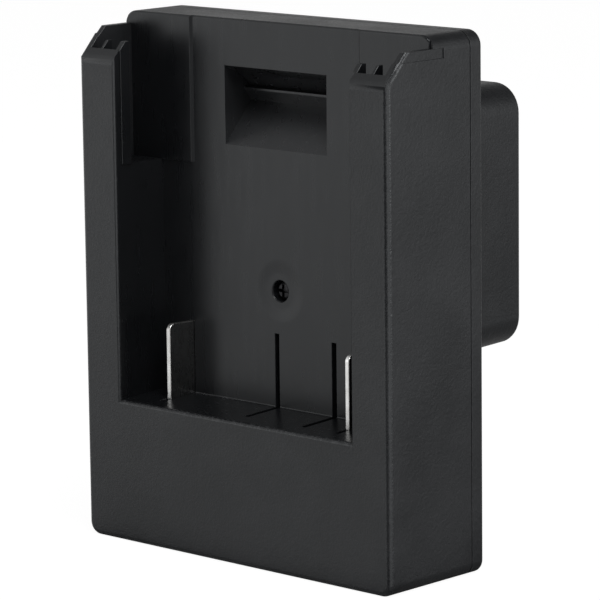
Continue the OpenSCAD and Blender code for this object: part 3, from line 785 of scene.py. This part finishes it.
def front_edge():
    """Round front edge along both sides and the base."""
    top = RAIL_TOP
    low_right = Vector((HALF_WIDTH - FOOT_CORNER, 0, FOOT_CORNER))
    low_left = Vector((-HALF_WIDTH + FOOT_CORNER, 0, FOOT_CORNER))
    outline = [(Vector((HALF_WIDTH, 0, top)), Vector((-1, 0, 0)))]
    outline += corner_arc(low_right, FOOT_CORNER, 0, -90)
    outline += corner_arc(low_left, FOOT_CORNER, -90, -90)
    outline += [(Vector((-HALF_WIDTH, 0, top)), Vector((1, 0, 0)))]
    return fillet_cutter(along_edge(outline, FRONT, BACK), FRONT_RADIUS)


SLOPE = Vector((0, LEAD_IN_DEPTH, LEAD_IN_HEIGHT)).normalized()
SLOPE_IN = Vector((0, LEAD_IN_HEIGHT, -LEAD_IN_DEPTH)).normalized()
BREAK_AT = RAIL_TOP - LEAD_IN_HEIGHT


def lead_in_edge(side):
    """Round outer edge of one rail's sloped lead-in."""
    across = Vector((-side, 0, 0))
    low = Vector((side * HALF_WIDTH, FRONT, BREAK_AT)) - SLOPE
    high = Vector((side * HALF_WIDTH, FRONT + LEAD_IN_DEPTH, RAIL_TOP)) + SLOPE
    return fillet_cutter([(low, across, SLOPE_IN), (high, across, SLOPE_IN)], LEAD_IN_RADIUS, RAIL_SPARE)


def tip_edge(side):
    """Round outer edge of one rail tip's slope."""
    across = Vector((-side, 0, 0))
    rise = Vector((0, TIP_DEPTH, TIP_TOP - RAIL_TOP)).normalized()
    inward = Vector((0, TIP_TOP - RAIL_TOP, -TIP_DEPTH)).normalized()
    start = Vector((side * (HALF_WIDTH - TIP_INSET), FRONT + LEAD_IN_DEPTH + TIP_INSET, RAIL_TOP))
    ends = [start + rise * TIP_RADIUS, start + rise * (TIP_TOP - RAIL_TOP + TIP_DEPTH)]
    return fillet_cutter([(end, across, inward) for end in ends], TIP_RADIUS, RAIL_SPARE)


def lead_in_break(side):
    """Soft break between one rail's front face and its sloped lead-in."""
    reach = (BAY_HALF - BREAK_PAST, HALF_WIDTH + BREAK_PAST)
    ends = [Vector((side * x, FRONT, BREAK_AT)) for x in reach]
    return fillet_cutter([(end, -UP, SLOPE) for end in ends], BREAK_RADIUS, BREAK_SPARE)


def plate_edge():
    """Round upper front edge of the back plate between the two pads."""
    half = BAY_HALF - PAD_WIDTH
    ends = [Vector((x, WALL, TOP)) for x in (-half, half)]
    return fillet_cutter([(end, -UP, BACK) for end in ends], PLATE_RADIUS, PAD_HEIGHT - NEAR)


def pad_edge(side):
    """Round upper front edge of one pad, which runs on round the crown of the plate."""
    centre = Vector((side * (HALF_WIDTH - CROWN_CORNER), 0, TOP - CROWN_CORNER))
    outline = [(Vector((side * (BAY_HALF - PAD_WIDTH - PAD_OVERLAP), 0, TOP)), -UP)]
    outline += corner_arc(centre, CROWN_CORNER, 90, -side * PAD_ARC)
    return fillet_cutter(along_edge(outline, WALL - PAD_HEIGHT, BACK), PLATE_RADIUS)


def box_edge():
    """Round rear edge of the drafted box."""
    low = BOX_TOP - BOX_HEIGHT + BOX_CORNER
    high = BOX_TOP - BOX_CORNER
    side = BOX_HALF - BOX_CORNER
    outline = corner_arc(Vector((side, 0, high)), BOX_CORNER, 90, -90)
    outline += corner_arc(Vector((side, 0, low)), BOX_CORNER, 0, -90)
    outline += corner_arc(Vector((-side, 0, low)), BOX_CORNER, -90, -90)
    outline += corner_arc(Vector((-side, 0, high)), BOX_CORNER, 180, -90)
    return fillet_cutter(along_edge(outline, REAR, -BACK), BOX_RADIUS, BOX_SPARE, closed=True)


def rim_edge():
    """Round rear edge of the cover's rim."""
    half = HALF_WIDTH - CROWN_CORNER
    outline = corner_arc(Vector((half, 0, TOP - CROWN_CORNER)), CROWN_CORNER, 90, -90)
    half = HALF_WIDTH - FOOT_CORNER
    outline += corner_arc(Vector((half, 0, FOOT_CORNER)), FOOT_CORNER, 0, -90)
    outline += corner_arc(Vector((-half, 0, FOOT_CORNER)), FOOT_CORNER, -90, -90)
    half = HALF_WIDTH - CROWN_CORNER
    outline += corner_arc(Vector((-half, 0, TOP - CROWN_CORNER)), CROWN_CORNER, 180, -90)
    return fillet_cutter(along_edge(outline, BACK_PLANE, -BACK), RIM_RADIUS, RIM_SPARE, closed=True)


def housing_radius(middle, first, second):
    """Radius of a small edge of the housing; the large ones are cut, so they get none here."""
    on_side = abs(middle.x) > HALF_WIDTH - NEAR
    if middle.y < FRONT + NEAR and (on_side or middle.z < FOOT_CORNER + NEAR):
        return 0
    sloped = any(normal.z > SLOPED and normal.y < -SLOPED for normal in (first, second))
    if sloped and (on_side or middle.z < BREAK_AT + NEAR):
        return 0
    if middle.z > TIP_TOP + NEAR and middle.y < WALL + NEAR:
        return 0
    if middle.y < FRONT + NEAR:
        return MOUTH_RADIUS
    return FINE_RADIUS


def cover_radius(middle, first, second):
    """Radius of a small edge of the cover; its bevelled rim and the box's rear edge get none here."""
    between = FOOT_CORNER < middle.z < TOP - CROWN_CORNER
    past_corner = abs(middle.x) > HALF_WIDTH - FOOT_CORNER and not between
    at_side = abs(middle.x) > HALF_WIDTH - RIM_REACH
    at_rim = past_corner or at_side or middle.z < RIM_REACH or middle.z > TOP - RIM_REACH
    if middle.y > BACK_PLANE - RIM_BEVEL - NEAR and at_rim:
        return 0
    if middle.y > REAR - RIM_REACH and abs(middle.x) >= SOCKET_HALF:
        return 0
    return FINE_RADIUS


def contact_radius(middle, first, second):
    """Radius of every edge of a contact."""
    return CONTACT_RADIUS


def small_radius(middle, first, second):
    """Radius of every edge of a small part."""
    return FINE_RADIUS


SIDES = (-1, 1)
housing_cutters = [front_edge(), plate_edge()]
edge_makers = (lead_in_edge, tip_edge, lead_in_break, pad_edge)
housing_cutters += [make(side) for make in edge_makers for side in SIDES]
rounded("front_housing", PLASTIC, housing_radius, housing_cutters, soften_housing)
rounded("back_cover", PLASTIC, cover_radius, [rim_edge(), box_edge()])
rounded("negative_blade", PLATED, contact_radius)
rounded("positive_blade", PLATED, contact_radius)
rounded("positive_output_contact", PLATED, contact_radius)
rounded("negative_output_contact", PLATED, contact_radius)
rounded("output_socket", CARRIER, small_radius)
rounded("contact_carrier", CARRIER, small_radius)
rounded("carrier_screw", BLACKENED, small_radius)
rounded("cover_screws", STEEL, small_radius)

KEPT = {
    "circuit_board": (LAMINATE, "board_laminate"),
    "board_screws": (STEEL, "screw_steel"),
    "positive_lead": (RED, "red_insulation"),
    "negative_lead": (BLACK, "black_insulation"),
    "fuse": (CERAMIC, "fuse_ceramic"),
    "fuse_clips": (PLATED, "plated_contact"),
    "filter_capacitor": (SLEEVE, "capacitor_sleeve"),
    "cutoff_transistor": (CHIP, "chip_plastic"),
    "control_chip": (CHIP, "chip_plastic"),
    "sense_resistor": (CHIP, "chip_plastic"),
    "protection_diode": (CHIP, "chip_plastic"),
}
for name, (material, slot) in KEPT.items():
    nodes[name].data.materials.clear()
    nodes[name].data.materials.append(material)


# Studio: floor, world and lamps

FLOOR_HALF = 6.0
FLOOR_GAP = 0.02
FLOOR_GLOW = 0.88
FLOOR_WHITE = 1.08
# Painted shade in the floor's glow: contact shade beside the base, a dimmer table near the object, and a
# painted cast shadow to the back right
CONTACT_SHADE = 8.0
TABLE_FADE = 400.0
SHADOW_START = 300.0
SHADOW_END = 520.0
RING_FULL = 2.0
CONTACT_TONE = 0.15
TABLE_NEAR = 0.62
TABLE_FAR = 1.15
SHADOW_TONE = 0.45
FLOOR_COLOUR = (0.9, 0.9, 0.9, 1.0)
GLOW_START = 0.22
GLOW_END = 0.7
OVERHEAD_TONE = 0.34
LAMP_AIM = (0, 0, 0.06)

# How bright glossy surfaces see the table and the room by heading: degrees from +X, tone. The table's tones
# are painted shade and painted light in the floor's glow.
TABLE_RING = ((-180, 0.9), (-133, 1.05), (-112, 0.95), (-98, 0.1), (-66, 0.08), (-52, 0.9), (-32, 1.8),
              (-11, 1.4), (12, 1.05), (38, 1.15), (52, 0.6), (65, 0.3), (85, 0.22), (120, 0.4), (145, 0.6),
              (180, 0.9))
ROOM_RING = ((-180, 0.55), (-158, 0.75), (-133, 1.4), (-112, 0.7), (-95, 0.1), (-65, 0.1), (-45, 0.6),
             (-20, 1.0), (38, 1.35), (52, 0.7), (65, 0.25), (85, 0.12), (118, 0.34), (138, 0.52), (180, 0.55))
SHADOW_RING = ((-180, 0.0), (5, 0.0), (25, 1.0), (70, 1.0), (90, 0.0), (180, 0.0))


def vector_math(tree, operation, first, second=None):
    """A vector math node; second is a vector, and the result is the node."""
    node = add(tree, "VectorMath", operation=operation)
    link(tree, first, node.inputs[0])
    if second is not None:
        node.inputs[1].default_value = second
    return node


def by_heading(tree, direction, ring):
    """Tone read from a ring of headings."""
    split = add(tree, "SeparateXYZ")
    link(tree, direction, split.inputs["Vector"])
    heading = combine(tree, "ARCTAN2", split.outputs["Y"], split.outputs["X"])
    ramp = add(tree, "ValToRGB")
    stops = ramp.color_ramp.elements
    while len(stops) < len(ring):
        stops.new(1.0)
    for stop, (degrees, tone) in zip(stops, ring):
        stop.position = degrees / 360 + 0.5
        level = tone / RING_FULL
        stop.color = (level, level, level, 1.0)
    link(tree, remap(tree, heading, -math.pi, math.pi, 0.0, 1.0), ramp.inputs["Fac"])
    return combine(tree, "MULTIPLY", ramp.outputs["Color"], RING_FULL)


def floor_tone(tree):
    """Tone that glossy surfaces see in the floor.

    It holds a painted contact shade beside the base, painted dimming near the object, a painted cast shadow
    to the back right, and painted darker and brighter sides.
    """
    position = add(tree, "NewGeometry").outputs["Position"]
    footprint = Vector((HALF_WIDTH, BACK_PLANE, TOP)) * MM
    sides = vector_math(tree, "ABSOLUTE", position).outputs["Vector"]
    beyond = vector_math(tree, "SUBTRACT", sides, footprint).outputs["Vector"]
    outside = vector_math(tree, "MAXIMUM", beyond, (0, 0, 0)).outputs["Vector"]
    distance = vector_math(tree, "LENGTH", outside).outputs["Value"]
    near_corner = Vector((HALF_WIDTH, FRONT, 0)) * MM
    direction = vector_math(tree, "SUBTRACT", position, near_corner).outputs["Vector"]

    # Painted contact shade, painted dimming near the object and a painted cast shadow in the floor's glow
    contact = remap(tree, distance, 0, CONTACT_SHADE * MM, CONTACT_TONE, 1.0)
    fade = remap(tree, distance, 0, TABLE_FADE * MM, TABLE_NEAR, TABLE_FAR)
    table = combine(tree, "MULTIPLY", contact, fade)
    shadow = remap(tree, distance, SHADOW_START * MM, SHADOW_END * MM, SHADOW_TONE, 0.0)
    shadow = combine(tree, "MULTIPLY", shadow, by_heading(tree, direction, SHADOW_RING))
    table = combine(tree, "MULTIPLY", table, combine(tree, "SUBTRACT", 1.0, shadow))
    return combine(tree, "MULTIPLY", table, by_heading(tree, direction, TABLE_RING))


def studio_floor():
    """White floor that glows for the camera and shows glossy surfaces its tone."""
    mesh = bmesh.new()
    bmesh.ops.create_grid(mesh, x_segments=1, y_segments=1, size=FLOOR_HALF)
    floor = new_piece("studio_floor", mesh)
    floor.location.z = cad_box[0][2] - FLOOR_GAP * MM
    material, tree, shader = new_material("studio_white")
    tree.nodes.remove(shader)
    path = add(tree, "LightPath")
    reflected = combine(tree, "MAXIMUM", path.outputs["Is Glossy Ray"], path.outputs["Is Transmission Ray"])
    shown = combine(tree, "MAXIMUM", path.outputs["Is Camera Ray"], reflected)
    matt = add(tree, "BsdfDiffuse")
    matt.inputs["Color"].default_value = FLOOR_COLOUR
    glow = add(tree, "Emission")
    white = combine(tree, "MULTIPLY", path.outputs["Is Camera Ray"], FLOOR_WHITE)
    tone = combine(tree, "MAXIMUM", white, floor_tone(tree))
    link(tree, tone, glow.inputs["Strength"])
    mix = add(tree, "MixShader")
    link(tree, combine(tree, "MULTIPLY", shown, FLOOR_GLOW), mix.inputs["Fac"])
    link(tree, matt.outputs["BSDF"], mix.inputs[1])
    link(tree, glow.outputs["Emission"], mix.inputs[2])
    link(tree, mix.outputs["Shader"], tree.nodes["Material Output"].inputs["Surface"])
    floor.data.materials.append(material)


def studio_world():
    """A room with light and dark sides, dim overhead, and white where the camera looks past the floor."""
    world = bpy.data.worlds.new("studio")
    bpy.context.scene.world = world
    world.use_nodes = True
    tree = world.node_tree
    background = tree.nodes["Background"]
    coordinates = add(tree, "TexCoord")
    split = add(tree, "SeparateXYZ")
    link(tree, coordinates.outputs["Generated"], split.inputs["Vector"])
    glow = remap(tree, split.outputs["Z"], GLOW_START, GLOW_END, 1.0, OVERHEAD_TONE)
    glow = combine(tree, "MULTIPLY", glow, by_heading(tree, coordinates.outputs["Generated"], ROOM_RING))
    path = add(tree, "LightPath")
    strength = combine(tree, "MAXIMUM", glow, path.outputs["Is Camera Ray"])
    link(tree, strength, background.inputs["Strength"])
    background.inputs["Color"].default_value = (1.0, 1.0, 1.0, 1.0)


def lamp(name, at, size, power):
    """Soft rectangular lamp; places and sizes in metres, power in watts."""
    data = bpy.data.lights.new(name, "AREA")
    data.shape = "RECTANGLE"
    data.size, data.size_y = size
    data.energy = power
    lamp_object = bpy.data.objects.new(name, data)
    lamp_object.location = at
    direction = Vector(LAMP_AIM) - Vector(at)
    lamp_object.rotation_euler = direction.to_track_quat("-Z", "Y").to_euler()
    bpy.context.scene.collection.objects.link(lamp_object)


def camera():
    """The camera that sees the part as the photograph does."""
    back = Vector((math.sin(AZIMUTH) * math.cos(ELEVATION), -math.cos(AZIMUTH) * math.cos(ELEVATION),
                   math.sin(ELEVATION)))
    level = Vector((math.cos(AZIMUTH), math.sin(AZIMUTH), 0))
    upright = back.cross(level)
    right = level * math.cos(ROLL) + upright * math.sin(ROLL)
    up = upright * math.cos(ROLL) - level * math.sin(ROLL)
    data = bpy.data.cameras.new("photo_camera")
    data.sensor_width = SENSOR
    data.lens = FOCAL_PIXELS / IMAGE_SIZE * SENSOR
    data.shift_x = -HALF_PIXEL
    data.shift_y = HALF_PIXEL
    data.clip_end = CAMERA_REACH
    view = bpy.data.objects.new("photo_camera", data)
    turn = Matrix((right, up, back)).transposed().to_4x4()
    view.matrix_world = Matrix.Translation(CAMERA_PLACE * MM) @ turn
    bpy.context.scene.collection.objects.link(view)
    bpy.context.scene.camera = view


studio_floor()
studio_world()
lamp("overhead", at=(0.51, -0.40, 0.95), size=(0.6, 0.6), power=6.5)
lamp("left_box", at=(-0.75, -0.25, 0.8), size=(0.7, 0.7), power=0.4)
lamp("right_strip", at=(0.9, 0.25, 0.35), size=(0.25, 0.7), power=2.0)
camera()
bpy.context.scene.view_settings.view_transform = "Standard"
